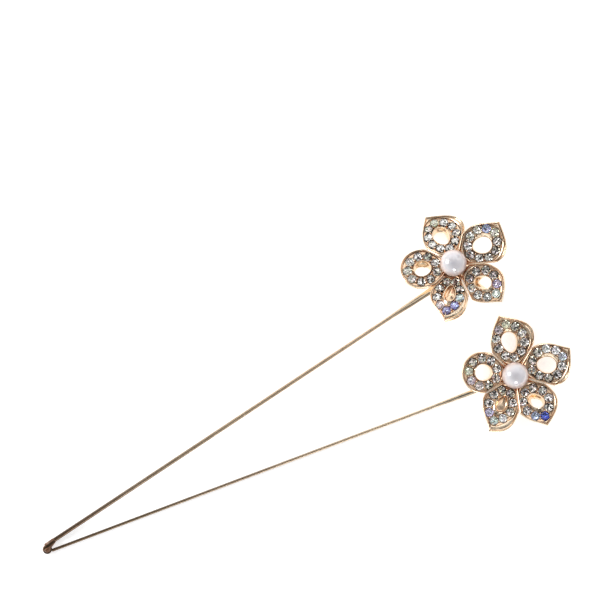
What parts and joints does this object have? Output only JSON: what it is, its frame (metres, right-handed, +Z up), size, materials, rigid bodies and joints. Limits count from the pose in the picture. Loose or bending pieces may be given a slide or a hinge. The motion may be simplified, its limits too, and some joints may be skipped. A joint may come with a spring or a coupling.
{
  "type": "decorative hair pin",
  "caption": "Two long slender arms hinged at one end, each with an open-work stone-set flower round a pearl, spreading into a narrow V that holds the hair.",
  "frame": {"origin": "on the hinge axis, at the lower face of the hinge, on the surface the pin lies on", "axes": "+X from the hinge along the middle of the open V towards the flowers, +Y towards the left arm, +Z up out of the flowers' faces"},
  "size_m": [0.1688, 0.0725, 0.0175],
  "materials": {
    "gold_plate": "polished champagne gold plating",
    "pin_bronze": "darkened bronze rivet",
    "pearl": "white imitation pearl coating",
    "rhinestone": "foiled faceted rhinestone"
  },
  "bodies": {
    "left_side": {"hinge_pin": "pin_bronze", "left_arm": "gold_plate", "left_hub": "gold_plate", "left_pearl_cup": "gold_plate", "left_pearl_peg": "gold_plate", "left_pearl": "pearl", "left_petal_1": "gold_plate", "left_petal_2": "gold_plate", "left_petal_3": "gold_plate", "left_petal_4": "gold_plate", "left_petal_5": "gold_plate", "left_stones_1": "rhinestone", "left_stones_2": "rhinestone", "left_stones_3": "rhinestone", "left_stones_4": "rhinestone", "left_stones_5": "rhinestone"},
    "right_side": {"right_arm": "gold_plate", "right_hub": "gold_plate", "right_pearl_cup": "gold_plate", "right_pearl_peg": "gold_plate", "right_pearl": "pearl", "right_petal_1": "gold_plate", "right_petal_2": "gold_plate", "right_petal_3": "gold_plate", "right_petal_4": "gold_plate", "right_petal_5": "gold_plate", "right_stones_1": "rhinestone", "right_stones_2": "rhinestone", "right_stones_3": "rhinestone", "right_stones_4": "rhinestone", "right_stones_5": "rhinestone"}
  },
  "joints": [
    {"name": "arm_swing", "type": "hinge", "parent": "left_side", "child": "right_side", "pos_m": [0, 0, 0.00115], "axis": [0, 0, -1], "range_deg": [-1, 24]}
  ]
}
